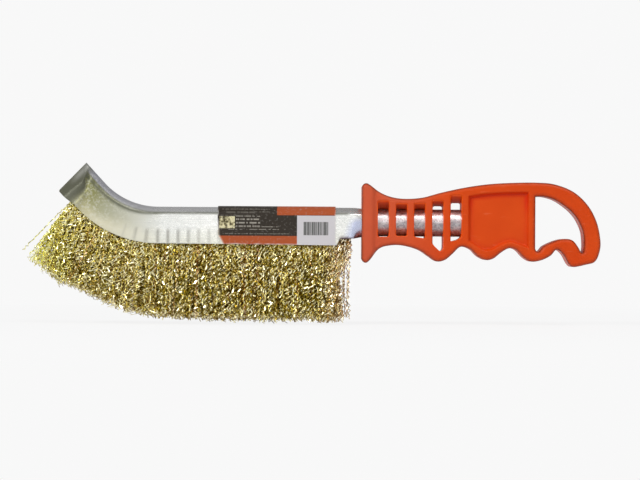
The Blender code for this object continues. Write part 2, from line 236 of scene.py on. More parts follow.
def put(kind, inputs=None, tree=None, **settings):
    """Add a node to the tree, or to that of the sockets it is given; settings are its own properties."""
    inputs = inputs or {}
    tree = tree or next(value.id_data for value in inputs.values() if isinstance(value, bpy.types.NodeSocket))
    made = tree.nodes.new("ShaderNode" + kind)
    for name, value in settings.items():
        setattr(made, name, value)
    fill(made, inputs)
    return made


def chain(operation, *values):
    """Math nodes over the values from left to right: a op b, then op c."""
    result, *others = values
    for value in others:
        result = put("Math", {0: result, 1: value}, operation=operation).outputs[0]
    return result


def times(*values):
    """Product of the values."""
    return chain("MULTIPLY", *values)


def plus(*values):
    """Sum of the values."""
    return chain("ADD", *values)


def minus(first, second):
    """The first value less the second."""
    return chain("SUBTRACT", first, second)


def most(*values):
    """Largest of the values."""
    return chain("MAXIMUM", *values)


def remap(value, low, high, to_low=0.0, to_high=1.0):
    """Map the range from low to high to another one, held at its ends."""
    return put("MapRange", dict(enumerate((value, low, high, to_low, to_high))), clamp=True).outputs[0]


def across(value, low, high, to_low=0.0, to_high=1.0):
    """Remap a length; low and high are in millimetres."""
    return remap(value, low * mm, high * mm, to_low, to_high)


def blend(factor, first, second):
    """Mix two colours: (1 - factor) first + factor second."""
    return put("Mix", {0: factor, 6: first, 7: second}, data_type="RGBA", clamp_factor=True).outputs[2]


def layers(tone, *rows):
    """Lay colours over a tone, one by one: a row is a mask and the colour that it lets through."""
    for mask, colour in rows:
        tone = blend(mask, tone, colour)
    return tone


def noise(place, scale, detail, **inputs):
    """Noise from 0 to 1, with about scale blotches for each metre."""
    return put("TexNoise", {"Vector": place, "Scale": scale, "Detail": detail, **inputs}).outputs[0]


def stretch(place, *scale, turn=0.0):
    """The place scaled along X, Y and Z, and turned about Y."""
    return put("Mapping", {"Vector": place, "Scale": scale, "Rotation": (0.0, turn, 0.0)}).outputs[0]


def stored(material, *names):
    """The numbers kept on the mesh under these names."""
    tree = material.node_tree
    return [put("Attribute", tree=tree, attribute_name=name).outputs["Fac"] for name in names]


def use_group(group, **inputs):
    """Outputs of a node group placed in the tree."""
    return put("Group", inputs, node_tree=group).outputs


def bump(height, strength, distance=0.05 * mm):
    """Normals that lean as if the surface had the height."""
    return put("Bump", {"Height": height, "Strength": strength, "Distance": distance}).outputs[0]


def new_material(name):
    """Material; returns it, its Principled shader and the place on the object."""
    made = bpy.data.materials.new(name)
    made.use_nodes = True
    place = put("TexCoord", tree=made.node_tree).outputs["Object"]
    return made, made.node_tree.nodes["Principled BSDF"], place


def new_group(name, inputs, *outputs):
    """Node group; inputs have a number, or None for a place. Returns it, its inputs and its end node."""
    group = bpy.data.node_groups.new(name, "ShaderNodeTree")
    for label, value in inputs.items():
        kind = "NodeSocketVector" if value is None else "NodeSocketFloat"
        socket = group.interface.new_socket(label, in_out="INPUT", socket_type=kind)
        if value is not None:
            socket.default_value = value
    for label in outputs:
        group.interface.new_socket(label, in_out="OUTPUT", socket_type="NodeSocketFloat")
    given, result = (group.nodes.new(f"NodeGroup{end}") for end in ("Input", "Output"))
    return group, given.outputs, result


# %% Shared effects
grain_inputs = {"Position": None, "Size": 1.0 * mm, "Detail": 3.0}
fine_grain, given, result = new_group("fine_grain", grain_inputs, "Height", "Patches")
per_metre = chain("DIVIDE", 1.0, given["Size"])
fine = noise(given["Position"], per_metre, given["Detail"])
coarse = noise(given["Position"], times(per_metre, 0.13), 4.0)
fill(result, {"Height": fine, "Patches": remap(coarse, 0.35, 0.65)})

wear_inputs = {"Position": None, "Edge": 0.0, "Size": 4.0 * mm}
edge_wear, given, result = new_group("edge_wear", wear_inputs, "Mask")
per_metre = chain("DIVIDE", 1.0, given["Size"])
breakup = noise(given["Position"], per_metre, 6.0, Roughness=0.65)
fill(result, {"Mask": times(given["Edge"], remap(breakup, 0.42, 0.66))})

patch_border = 0.12 * mm
patch_inputs = {"Along": 0.0, "Down": 0.0, "From": 0.0, "To": 1.0, "Top": 0.0, "Foot": 1.0}
printed_patch, given, result = new_group("printed_patch", patch_inputs, "Mask")
sides = []
for place, low, high in (("Along", "From", "To"), ("Down", "Top", "Foot")):
    past_low = minus(given[place], given[low])
    before_high = minus(given[high], given[place])
    sides.append(remap(chain("MINIMUM", past_low, before_high), 0.0, patch_border))
fill(result, {"Mask": times(*sides)})
print("node groups:", ", ".join(group.name for group in bpy.data.node_groups))

# %% [markdown]
# ## Camera
#
# The photograph looks at the brush from the side, from well over a metre away and from about the
# middle of its height. A long lens gives the same nearly parallel view. The photograph's frame is
# 640 by 480 pixels, and the camera's whole width covers 294 mm at the brush.

# %% Camera
camera_distance = 1.3
frame_width = 294.4 * mm
view_centre = Vector((3.6 * mm, 0.0, 38.7 * mm))
camera_roll = math.radians(-0.35)

camera_data = bpy.data.cameras.new("camera")
camera_data.sensor_width = 36.0
camera_data.lens = camera_data.sensor_width * camera_distance / frame_width
camera_data.clip_start = 0.05
camera = link_object("camera", camera_data)
camera.matrix_world = (
    Matrix.Translation(view_centre - Vector((0.0, camera_distance, 0.0)))
    @ Matrix.Rotation(math.radians(90), 4, "X")
    @ Matrix.Rotation(-camera_roll, 4, "Z")
)
bpy.context.scene.camera = camera
print(f"lens {camera_data.lens:.0f} mm")

# %% [markdown]
# ## Studio
#
# Galvanised steel and brass show the room that they stand in, so the room matters as much as the lamps.
# A pale backdrop stands behind the brush. For mirror images the side towards the camera is nearly
# white, so the flat wall of the channel turns nearly white too, and a pale field hangs high in front.
# The ceiling is grey, which the folded top mirrors. A weak soft box stands beside the camera, a key lamp
# lights the plastic from above, and a small lamp at upper left makes the wires glint. The floor is a
# pale disc that turns into the background's tone further out.

# %% World and lamps
pale = (0.94, 0.94, 0.94)
room_grey = (0.28, 0.28, 0.28)
front_grey = (0.95, 0.95, 0.94)
beside_grey = (0.50, 0.50, 0.50)
ceiling_grey = (0.32, 0.32, 0.33)

bpy.context.scene.view_settings.view_transform = "Standard"
world = bpy.data.worlds.new("studio_room")
world.use_nodes = True
bpy.context.scene.world = world
direction = put("TexCoord", tree=world.node_tree).outputs["Generated"]
_, backwards, upwards = put("SeparateXYZ", {0: direction}).outputs
rays = put("LightPath", tree=world.node_tree).outputs
mirrored = blend(remap(backwards, -0.80, -0.45, 1.0, 0.0), beside_grey, front_grey)
low_room = blend(rays["Is Glossy Ray"], room_grey, mirrored)
room = blend(remap(upwards, 0.12, 0.34), low_room, ceiling_grey)
backdrop = times(remap(backwards, 0.05, 0.30), remap(upwards, 0.10, 0.32, 1.0, 0.0))
in_front = remap(backwards, -0.30, -0.15, 1.0, 0.0)
high_field = times(remap(upwards, 0.30, 0.50), in_front, rays["Is Glossy Ray"])
room = blend(most(rays["Is Camera Ray"], backdrop, high_field), room, pale)
fill(world.node_tree.nodes["Background"], {"Color": room})


def soft_lamp(name, place, aim, size, power):
    """Rectangular area lamp at a place, turned to face its aim."""
    light = bpy.data.lights.new(name, "AREA")
    light.shape = "RECTANGLE"
    light.size, light.size_y = size
    light.energy = power
    turned = (Vector(aim) - Vector(place)).to_track_quat("-Z", "Y").to_matrix().to_4x4()
    link_object(name, light).matrix_world = Matrix.Translation(place) @ turned


soft_lamp("soft_box", (-0.03, -1.75, 0.06), (-0.03, 0.0, 0.06), (0.32, 0.6), 0.50)
soft_lamp("key_lamp", (0.55, -1.0, 1.6), (0.0, 0.0, 0.03), (0.8, 0.6), 12.5)
soft_lamp("glint_lamp", (-1.15, -1.2, 1.15), (0.0, 0.0, 0.03), (0.20, 0.20), 16.5)

# %% Floor
floor_rings = np.array((0.0, 0.2, 0.5, 1.0, 2.5, 6.0))[:, None]
floor_level = -0.2 * mm
floor_glow = 0.848
turn = np.linspace(0, 2 * math.pi, 97)[:-1]
level = np.full((len(floor_rings), len(turn)), floor_level)
floor_points = np.stack((floor_rings * np.cos(turn), floor_rings * np.sin(turn), level), axis=-1)
floor = mesh_object("floor", floor_points, grid_faces(len(floor_rings), len(turn), wrap=True))

floor_material, shader, place = new_material("pale_floor")
fill(shader, {"Base Color": (0.90, 0.90, 0.90), "Roughness": 0.9})
tree = floor_material.node_tree
rays = put("LightPath", tree=tree).outputs
seen = most(rays["Is Camera Ray"], rays["Is Glossy Ray"], rays["Is Transmission Ray"])
lit = put("BsdfDiffuse", {"Color": (0.10, 0.10, 0.10)}, tree).outputs[0]
glow = put("Emission", {"Color": (1.0, 1.0, 1.0), "Strength": floor_glow}, tree).outputs[0]
near = put("AddShader", {0: lit, 1: glow}).outputs[0]
far = put("Emission", {"Color": pale, "Strength": 1.0}, tree).outputs[0]
away = put("VectorMath", {0: place}, operation="LENGTH").outputs["Value"]
shown = put("MixShader", {0: across(away, 160, 420), 1: near, 2: far}).outputs[0]
mixed = put("MixShader", {0: seen, 1: shader.outputs[0], 2: shown}).outputs[0]
fill(tree.nodes["Material Output"], {"Surface": mixed})
floor.data.materials.append(floor_material)
floor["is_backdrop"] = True

# %% [markdown]
# ## Galvanised steel
#
# The zinc coat has faint crystal patches, called spangle, from a Voronoi texture. Rolling leaves fine
# lines along the sheet, from noise that is stretched along X, and the pressing leaves it a little
# cloudy. The colours are laid over each other from the plain wall to the pressed tip. Many of them are
# painted light and shade: a darker top, most of all on the shank, a dark olive bend with a paler foot
# and top, a bluish painted reflection near the guard, a painted shadow under the shank, a darker lower
# half of the tube with a painted highlight band above it, painted shade in the crimp dents, a painted
# dark line under the fold and painted shade over the pressed tip. Their masks come from numbers kept on
# the mesh: the depth under the top, the distance towards the tip, the crimp marks, the line under the
# fold and the pressed end.

# %% Galvanised steel material
steel, shader, place = new_material("galvanised_steel")
from_top, to_tip, dent, fold, pressed, rubbed_end = stored(
    steel, "down", "to_tip", "dent", "fold", "pressed", "rubbed_end"
)
spangle = put("TexVoronoi", {"Vector": place, "Scale": 1500.0, "Randomness": 1.0}).outputs["Color"]
crystal = put("SeparateColor", {0: spangle}).outputs[0]
rolled = noise(stretch(place, 60.0, 900.0, 1600.0), 1.0, 5.0)
clouds = noise(place, 90.0, 5.0)
grain = use_group(fine_grain, Position=place, Size=0.6 * mm)["Height"]

down = plus(from_top, remap(clouds, 0.3, 0.7, -1.5 * mm, 1.5 * mm))
on_top = across(from_top, 2.0, 2.7, 1.0, 0.0)
shank_top = times(on_top, across(to_tip, 12, 16, 0.9, 0.0))
dull = across(plus(to_tip, times(clouds, 12 * mm)), 96, 126)
bright_foot = times(across(down, 10, 15), across(to_tip, 114, 126, 1.0, 0.1))
past_guard = plus(to_tip, times(down, -0.30))
on_shank = times(across(past_guard, 1, 5, 0.8, 0.0), across(down, 4, 7))
shank_foot = times(across(to_tip, 9, 11, 1.0, 0.0), across(down, 12.3, 13.6))
in_handle = across(to_tip, -3, 0, 1.0, 0.0)
speckle = times(remap(crystal, 0.45, 1.0, 0.0, 0.40), most(dull, in_handle))
pits = times(remap(crystal, 0.0, 0.4, 0.50, 0.0), in_handle)
rubbed_line = times(across(down, 2.0, 2.9), across(down, 5.2, 6.4, 1.0, 0.0), in_handle)

# Painted reflection and shade on the bend: a dark olive side, a paler foot and a paler top.
bend_tone = layers(
    blend(across(down, 4, 10), (0.25, 0.25, 0.105), (0.32, 0.31, 0.14)),
    (bright_foot, (0.64, 0.60, 0.40)),
    (on_top, (0.45, 0.45, 0.49)),
)
# Painted shade: the tube inside the handle is darker on its lower half.
tube_tone = blend(across(down, 5.5, 7.5), (0.56, 0.53, 0.55), (0.40, 0.40, 0.43))
# Painted shade over the pinched tip, with a paler painted patch near the end.
pressed_tone = blend(rubbed_end, (0.080, 0.082, 0.055), (0.27, 0.27, 0.24))
tone = layers(
    blend(remap(clouds, 0.35, 0.65), (0.76, 0.77, 0.74), (0.87, 0.87, 0.84)),
    (across(down, 9, 17, 0.0, 0.5), (0.69, 0.68, 0.54)),  # the wall's warmer foot
    (remap(rolled, 0.55, 0.75, 0.0, 0.25), (0.55, 0.55, 0.55)),
    # Painted shade: the top is darker, and the shank's top darker still.
    (on_top, (0.77, 0.77, 0.76)),
    (shank_top, (0.62, 0.61, 0.58)),
    # Painted shade over the bend.
    (dull, bend_tone),
    # Painted bluish reflection on the shank near the guard.
    (on_shank, (0.46, 0.51, 0.72)),
    # Painted shadow under the shank's foot.
    (shank_foot, (0.16, 0.12, 0.13)),
    (in_handle, tube_tone),
    (speckle, (0.75, 0.75, 0.68)),
    (pits, (0.12, 0.11, 0.12)),
    # Painted highlight band along the tube's upper side.
    (times(rubbed_line, 0.85), (0.98, 0.98, 1.0)),
    # Painted shade in the crimp dents.
    (times(dent, remap(clouds, 0.3, 0.6, 0.5, 0.85)), (0.24, 0.23, 0.20)),
    # Painted dark line just under the fold.
    (times(fold, remap(clouds, 0.3, 0.6, 0.75, 0.95)), (0.12, 0.125, 0.085)),
    # Painted shade over the pinched tip.
    (times(pressed, 0.95), pressed_tone),
)
not_metal = plus(times(in_handle, 0.20), times(rubbed_line, 0.25), times(pressed, 0.55))
unrubbed = times(in_handle, minus(0.7, rubbed_line))
matt = most(dull, pressed, fold, unrubbed)
rough = (remap(crystal, 0.0, 1.0, 0.22, 0.32), remap(rolled, 0.3, 0.7, -0.04, 0.06))
relief = plus(times(rolled, 0.6), times(grain, 0.4))
fill(shader, {
    "Base Color": tone,
    "Metallic": minus(0.85, not_metal),
    "Roughness": plus(*rough, times(matt, 0.22)),
    "Normal": bump(relief, 0.25),
})

# %% [markdown]
# ## Steel body
#
# One flat blank makes the whole metal part. In front it is folded to a channel that is open below,
# then it sweeps upwards and is pinched flat at the tip. Behind the channel it narrows to a shank and
# closes to a tube that runs into the handle. So the surface is one section that slides along the
# steel's top line and changes on its way. Both section and line are plain formulas, so the whole sheet
# is one array of points. A Solidify modifier then gives it the thickness of the sheet.

# %% Sections and the line that they follow
wall_points = 20
corner_points = 6
top_points = 9
fold_radius = 0.3 * mm
fold_end = math.radians(50)
section_points = 2 * (wall_points + corner_points) + top_points


def turned_angle(distance, line_depth):
    """Angle that the line has turned: a = (s - straight) / (R + line depth), held to the bend's."""
    return np.clip((distance - straight_length) / (bend_radius + line_depth), 0.0, bend_angle)


def along_line(distance, y, depth, line_depth=0.0):
    """Points under the steel's top line: straight, then round the bend, then straight to the tip.

    With a the angle turned, the point is the bend's centre plus (R + depth) times the direction
    (-sin a, -cos a), plus what is left of the length along (-cos a, sin a).
    """
    distance, y, depth = np.broadcast_arrays(distance, y, depth)
    bend_length = (bend_radius + line_depth) * bend_angle
    angle = turned_angle(distance, line_depth)
    straight = np.minimum(distance, straight_length)
    beyond = np.maximum(distance - straight_length - bend_length, 0.0)
    radius = bend_radius + depth
    x = guard_x - straight - radius * np.sin(angle) - beyond * np.cos(angle)
    z = brush_height + bend_radius - radius * np.cos(angle) + beyond * np.sin(angle)
    return np.stack((x, y, z), axis=-1)


def channel_section(width, depth, crown):
    """Channel sections from one lower edge over the top to the other, for a column of depths.

    The top is a low arch, depth = crown (y / top half width)^2. A tight fold leads from the arch's
    slope into each upright wall: with the turn a from 0 to the fold's end, y = w/2 - f + f cos a.
    """
    half = np.full_like(depth, width / 2)
    fold = np.minimum(fold_radius, 0.3 * half)
    wall = np.linspace(1.0, 0.0, wall_points, endpoint=False)
    turn = np.linspace(0, fold_end, corner_points)
    top = np.linspace(1.0, -1.0, top_points + 2)[1:-1]
    fold_y = half - fold + fold * np.cos(turn)
    fold_depth = crown + fold * (math.sin(fold_end) - np.sin(turn)) - 0.35 * fold
    wall_y = half + 0 * wall
    wall_depth = fold_depth[:, :1] + (depth - fold_depth[:, :1]) * wall
    half_y, half_depth = np.hstack((wall_y, fold_y)), np.hstack((wall_depth, fold_depth))
    y = np.hstack((half_y, fold_y[:, -1:] * top, -half_y[:, ::-1]))
    return y, np.hstack((half_depth, fold_depth[:, -1:] * top**2, half_depth[:, ::-1]))


def tube_section(radius):
    """Round tube with an open seam at its foot: y = r cos a, depth = axis depth - r sin a."""
    opening = tube_seam / (2 * radius)
    turn = np.linspace(opening - math.pi / 2, 3 * math.pi / 2 - opening, section_points)
    return radius * np.cos(turn), tube_axis_depth - radius * np.sin(turn)


def steel_sections(distance, offset=0.0):
    """Sections of the steel at each distance: tube, shank, channel, as arrays of y and depth.

    The tube turns into the shank by an eased mix of the two sections, and the walls get deeper
    where the channel begins.
    """
    s = distance[:, None]
    tube_y, tube_depth = tube_section(tube_radius + offset)
    places = (shank_length, shank_end, straight_length)
    deeper = np.interp(s, places, (shank_depth, channel_depth, bend_depth))
    y, depth = channel_section(channel_width + 2 * offset, deeper + 2 * offset, crown_height)
    eased = ease(s, -tube_run_in, tube_run_in + round_off_length)
    return tube_y * (1 - eased) + y * eased, tube_depth * (1 - eased) + (depth - offset) * eased


# %% [markdown]
# The tip is shut behind a crease that slants over the wall. Tables by depth say how far before the end
# the crease runs, over what length the channel closes there, and how far the painted shade over the
# pinched tip reaches. Further back, the walls have a row of dents where they were pressed on the wires;
# the dents get painted shade.

# %% Pinched tip and crimp marks
crease_depths = np.array((0.0, 3.0, 5.0, 8.0, 12.0, 18.0)) * mm
crease_before_end = np.array((5.2, 4.6, 5.4, 7.4, 7.6, 7.8)) * mm
taper_lengths = np.array((9.5, 7.0, 5.4, 5.4, 7.5, 9.0)) * mm
# Painted shade over the pinched tip: how deep it reaches, how far before the end and how fast it fades.
stain_depths = np.array((0.0, 3.5, 5.0, 8.0, 10.0, 18.0)) * mm
stain_before_end = np.array((1.5, 3.0, 4.6, 8.0, 7.4, 6.0)) * mm
stain_fades = np.array((6.0, 4.0, 1.0, 1.4, 6.0, 10.0)) * mm
end_slant = 1.0 * mm
slant_length = 7.0 * mm
# A paler painted patch near the end, inside the tip's painted shade.
rub_place, rub_width, rub_depth = 1.6 * mm, 1.4 * mm, 9.0 * mm
mark_pitch = 4.68 * mm
mark_width = 0.55 * mm
mark_depth = 0.28 * mm
mark_top = 9.6 * mm
fade_above, fade_below, fade_behind, fade_ahead = 2.0 * mm, 1.5 * mm, 4.0 * mm, 12.0 * mm
first_mark = 18.5 * mm
last_mark = 114.0 * mm
closer_in_bend = 0.25
weakest_mark = 0.35
strongest_mark, strong_reach = 90.0 * mm, 12.0 * mm


def pinch(distance, y, depth):
    """Press the channel shut at its tip: each point moves to the flat section behind the crease.

    Returns the moved sections, the mask of the painted shade over the tip and the mask of a paler
    painted patch in it.
    """
    s = distance[:, None]
    shut_width = 2 * sheet_thickness + pinch_gap
    corner = np.maximum(s - (steel_end - tip_corner), 0.0)
    foot = tip_depth - tip_corner + np.sqrt(np.maximum(tip_corner**2 - corner**2, 0.0))
    shut_y, shut_depth = channel_section(shut_width, foot, 0.4 * shut_width)
    crease = steel_end - np.interp(depth, crease_depths, crease_before_end)
    share = smoothstep((s - crease) / np.interp(depth, crease_depths, taper_lengths) + 0.5)
    share = np.where(s >= steel_end, 1.0, share)
    y = y * (1 - share) + shut_y * share
    depth = depth * (1 - share) + shut_depth * share
    slant = end_slant * depth / tip_depth * smoothstep((s - steel_end) / slant_length + 1)
    before_end = steel_end - s
    fade = np.interp(depth, stain_depths, stain_fades)
    stained = 1 - ease(before_end, np.interp(depth, stain_depths, stain_before_end), fade)
    rubbed = np.exp(-(((before_end - rub_place) / rub_width) ** 2)) * smoothstep(1.5 - depth / rub_depth)
    return s - slant, y, depth, stained, rubbed


def crimp_marks(distance, depth):
    """Shallow upright dents, exp(-(offset / width)^2), one each pitch and a little closer in the bend."""
    s = distance[:, None]
    s = s + closer_in_bend * np.maximum(s - straight_length, 0.0)
    off_centre = (s - first_mark + mark_pitch / 2) % mark_pitch - mark_pitch / 2
    across = np.exp(-((off_centre / mark_width) ** 2))
    lower_wall = ease(depth, mark_top, fade_above) * smoothstep((channel_depth - depth) / fade_below)
    held = ease(s, shank_length, fade_behind) * smoothstep((last_mark - s) / fade_ahead)
    unlike = weakest_mark + (1 - weakest_mark) * np.exp(-(((s - strongest_mark) / strong_reach) ** 2))
    return across * lower_wall * held * unlike


# %% Build the steel body
edge_bevel = 0.18 * mm
bend_run_in, bend_run = 6 * mm, 20 * mm
line_rise, line_drop = 0.2 * mm, 0.9 * mm
line_width, line_widening = 0.5, 0.4
line_fade = 3 * mm
tip_start = steel_end - tip_length
stations = spaced(
    (-tube_in_handle, -tube_run_in, round_off_length, shank_length, shank_end, straight_length,
     tip_start, steel_end - tip_corner, steel_end),
    (45, 16, 8, 4, 190, 50, 72, 6),
)
section_y, section_depth = steel_sections(stations)
marks = crimp_marks(stations, section_depth)
section_y = section_y - np.sign(section_y) * marks * mark_depth
slid, section_y, section_depth, stained, rubbed = pinch(stations, section_y, section_depth)
steel_faces = grid_faces(len(stations), section_points)
body = mesh_object("folded_steel", along_line(slid, section_y, section_depth), steel_faces)
print("the top faces up:", body.data.polygons[len(steel_faces) // 2].normal.z > 0)

station = np.broadcast_to(stations[:, None], marks.shape)
# Mask of the painted dark line just under the fold, lower and wider in the bend.
in_bend = smoothstep((station - straight_length + bend_run_in) / bend_run)
off_fold = section_depth - crown_height + line_rise - line_drop * in_bend
off_fold = off_fold / ((line_width + line_widening * in_bend) * mm)
fold_mask = np.exp(-(off_fold**2)) * ease(station, round_off_length, line_fade)
# Masks for the material: painted shade in the crimp dents, painted shade over the pinched tip and its paler
# painted patch, depth, distance to the tip and the painted dark line under the fold.
store_values(
    body, dent=marks, pressed=stained, rubbed_end=rubbed, down=section_depth, to_tip=station, fold=fold_mask
)
add_modifier(body, "SOLIDIFY", thickness=sheet_thickness, offset=-1.0, use_quality_normals=True)
add_modifier(
    body, "BEVEL", width=edge_bevel, segments=2, limit_method="ANGLE", angle_limit=math.radians(60)
)
settle_modifiers(body, sharp_degrees=38)
finish_piece(body, "galvanised_steel", steel, "steel_body")

# %% [markdown]
# ## Retaining wire
#
# The wires of the trim are folded over one long round wire. It lies inside the channel, so the CAD
# node is shape enough. It only gets the finish of drawn wire: fine lines along X on plain steel.

# %% Retaining wire
drawn_wire, shader, place = new_material("drawn_wire")
lines = noise(stretch(place, 80.0, 2500.0, 2500.0), 1.0, 3.0)
fill(shader, {
    "Base Color": blend(remap(lines, 0.35, 0.65), (0.30, 0.30, 0.31), (0.46, 0.46, 0.47)),
    "Roughness": remap(lines, 0.3, 0.7, 0.38, 0.52),
    "Metallic": 0.95,
})
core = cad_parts["retaining_wire"]
core.data.materials.clear()
core.data.materials.append(drawn_wire)

# %% [markdown]
# ## Printed label
#
# A thin printed film is wrapped over the channel behind the bend. Its print is generic here: a dark
# field with rows of faint dashes and a blotchy block, a warm stripe along the foot and a part of the
# top, and a pale end field with plain bars. Each patch is a mask from the place along the brush and
# the depth under the steel's top.

# %% Label material
rule_pitch = 1.6 * mm
rule_blocks = (
    (42.0, 64.0, 0.7, 2.4, 0.28),
    (49.3, 64.0, 2.4, 4.0, 0.26),
    (46.4, 57.6, 4.0, 8.8, 0.75),
    (37.8, 61.0, 8.8, 10.4, 0.70),
    (32.7, 63.6, 12.0, 13.0, 0.40),
)
dark = (0.028, 0.021, 0.014)
warm = (0.41, 0.082, 0.022)
light_grey = (0.62, 0.60, 0.62)
rule_tone = (0.42, 0.39, 0.33)
label_print, shader, place = new_material("label_print")
x, _, z = put("SeparateXYZ", {0: place}).outputs
along = minus(guard_x, x)
down = minus(brush_height, z)
near_edge, lifted_end = stored(label_print, "near_edge", "lifted_end")


def patch(*edges):
    """Mask of a printed rectangle, from, to, top and foot in millimetres from the guard and the top."""
    start, end, top, foot = (edge * mm for edge in edges)
    return use_group(printed_patch, Along=along, Down=down, From=start, To=end, Top=top, Foot=foot)["Mask"]


blotches = noise(place, 900.0, 3.0)
block_tone = blend(remap(blotches, 0.35, 0.6), (0.30, 0.25, 0.09), (0.74, 0.68, 0.42))
block = times(patch(58.0, 65.2, 4.2, 9.8), remap(blotches, 0.28, 0.56))
row_place = put("CombineXYZ", {0: along, 1: chain("SNAP", down, rule_pitch)}).outputs[0]
across_rule = chain("PINGPONG", down, rule_pitch / 2)
dashes = times(across(across_rule, 0.38, 0.55), remap(noise(row_place, 900.0, 1.0), 0.40, 0.50))
bar_place = put("CombineXYZ", {0: along}).outputs[0]
bars = remap(noise(bar_place, 1500.0, 1.0), 0.62, 0.52)
scuffs = use_group(fine_grain, Position=place, Size=1.2 * mm, Detail=6.0)
rubbed_off = use_group(edge_wear, Position=place, Edge=near_edge, Size=2.5 * mm)["Mask"]
label_tone = layers(
    dark,
    (patch(0.0, 38.8, -1.0, 3.7), warm),
    (patch(0.0, 70.0, 13.1, 20.0), warm),
    (patch(0.0, 29.6, 3.7, 20.0), light_grey),
    (block, block_tone),
    *((times(patch(*edges), strength, dashes), rule_tone) for *edges, strength in rule_blocks),
    (times(bars, patch(15.2, 26.6, 6.6, 12.8), 0.85), (0.06, 0.065, 0.055)),
    (times(lifted_end, 0.8), (0.86, 0.78, 0.64)),
    (remap(scuffs["Height"], 0.56, 0.72, 0.0, 0.20), (0.55, 0.52, 0.48)),
    (rubbed_off, (0.72, 0.70, 0.66)),
)
fill(shader, {
    "Base Color": label_tone,
    "Roughness": remap(scuffs["Patches"], 0.0, 1.0, 0.30, 0.46),
    "Specular IOR Level": 0.25,
    "Normal": bump(scuffs["Height"], 0.15),
})

# %% Label film
label_offset = fit_gap + label_thickness
label_rows = 90
cut_start_depth = 12.5 * mm
cut_length = 2.6 * mm
worn_length, worn_from, worn_fade = 0.9 * mm, 6 * mm, 4 * mm
edge_reach = 0.5 * mm
share = np.linspace(0.0, 1.0, label_rows)[:, None]
label_depth = np.interp(
    label_start + share * label_length, (shank_end, straight_length), (channel_depth, bend_depth)
)
film_y, film_depth = channel_section(channel_width + 2 * label_offset, label_depth + label_offset, crown_height)
film_depth = film_depth - label_offset
corner_cut = cut_length * np.clip((film_depth - cut_start_depth) / (channel_depth - cut_start_depth), 0, 1)
film_distance = label_start + share * (label_length - corner_cut)
film_points = along_line(film_distance, film_y, film_depth)
label = mesh_object("label_film", film_points, grid_faces(label_rows, section_points))

to_front_end = label_start + label_length - corner_cut - film_distance
from_end = np.minimum(film_distance - label_start, to_front_end)
nearest = np.minimum(from_end, label_depth - film_depth)
lifted = (1 - smoothstep(to_front_end / worn_length)) * ease(film_depth, worn_from, worn_fade)
store_values(label, near_edge=1 - smoothstep(nearest / edge_reach), lifted_end=lifted)
add_modifier(label, "SOLIDIFY", thickness=label_thickness, offset=-1.0, use_even_offset=True)
settle_modifiers(label, sharp_degrees=40)
finish_piece(label, "label_print", label_print, "label_sleeve")

# %% [markdown]
# ## Crimped brass-coated wires
#
# Thousands of thin wires are folded over the retaining wire and trimmed to one line. Each wire is
# crimped: it bends to and fro along its length. A wire here is a tube with three flat sides on a
# zigzag path, and its sides roll a little at each bend, so some faces flash and others stay dark,
# which gives the trim its sparkle. Each leg's colour also carries a painted highlight or painted shade.
# All wires of a bundle are one array of points, because a wire's path is the same formula with its
# own random values. The random numbers come from a fixed seed.

# %% Brass-coated wire material
brass, shader, place = new_material("brass_coated_wire")
wire_tone, down_wire, leg_shine = stored(brass, "wire_tone", "down_wire", "leg_shine")
x = put("SeparateXYZ", {0: place}).outputs[0]
grain = use_group(fine_grain, Position=place, Size=0.7 * mm)["Height"]
patchy = remap(noise(place, 70.0, 2.0), 0.4, 0.6)
# Painted light: each leg's painted shine, made lighter near the channel and towards the front end, plus the
# wire's own random tone.
exposed = plus(
    leg_shine, times(wire_tone, 0.15), remap(down_wire, 0.1, 0.5, 0.10, 0.0), across(x, -112, -58, 0.45, 0.04)
)
bright = remap(exposed, 0.34, 0.50)
older_tone = blend(bright, (0.50, 0.37, 0.27), (1.0, 0.89, 0.78))
tone = layers(
    blend(patchy, (0.245, 0.182, 0.014), (0.27, 0.180, 0.020)),
    (remap(bright, 0.0, 0.6), (0.92, 0.755, 0.115)),
    (remap(bright, 0.4, 0.9), (1.0, 0.945, 0.60)),
    (times(across(x, -128, -106, 0.9, 0.0), bright), (1.0, 1.0, 0.44)),  # loose wires in front
    (across(x, 2, 16, 0.0, 0.65), older_tone),  # duller wires beside the handle
    (times(remap(wire_tone, 0.0, 0.12, 1.0, 0.0), 0.6), (0.72, 0.38, 0.24)),  # coppery ones
    (remap(grain, 0.5, 0.8, 0.0, 0.3), (0.40, 0.28, 0.08)),
    (times(remap(down_wire, 0.965, 1.0), 0.5), (0.55, 0.50, 0.45)),  # cut tips
)
fill(shader, {
    "Base Color": tone,
    "Metallic": 1.0,
    "Specular Tint": (1.0, 0.90, 0.45),
    "Roughness": remap(grain, 0.3, 0.7, 0.15, 0.26),
    "Normal": bump(grain, 0.2, 0.04 * mm),
})

# %% [markdown]
# A wire's path starts inside the channel and ends at the trim line, a little ragged. The names below
# say how it spreads. Wires towards the tip lean back to the handle, the loose ones among them less.
# Beside the handle the wires are gathered forwards, apart from a few that hang down, and a few strays
# stand off anywhere. Each leg between two bends also gets its own painted shine, a painted highlight
# or shade in its colour.

# %% Path of a wire
first_seed = 1000
legs_per_bundle = 112
bends_per_wire = 36
wire_radius = 0.27 * mm
floor_gap = 0.05 * mm
root_length = 3.0 * mm
root_half_width = 3.9 * mm
golden_share = 0.618
crimp_height = 0.60 * mm
crimp_range = (0.5, 1.35)
crimp_jitter = 0.18 * mm
crimp_twist = 2.5
crimp_run_in = 0.08
roll_step = 0.5
uneven_bends = 0.42
uneven_power = (0.88, 1.14)
full_flank = 1.6 * crimp_height
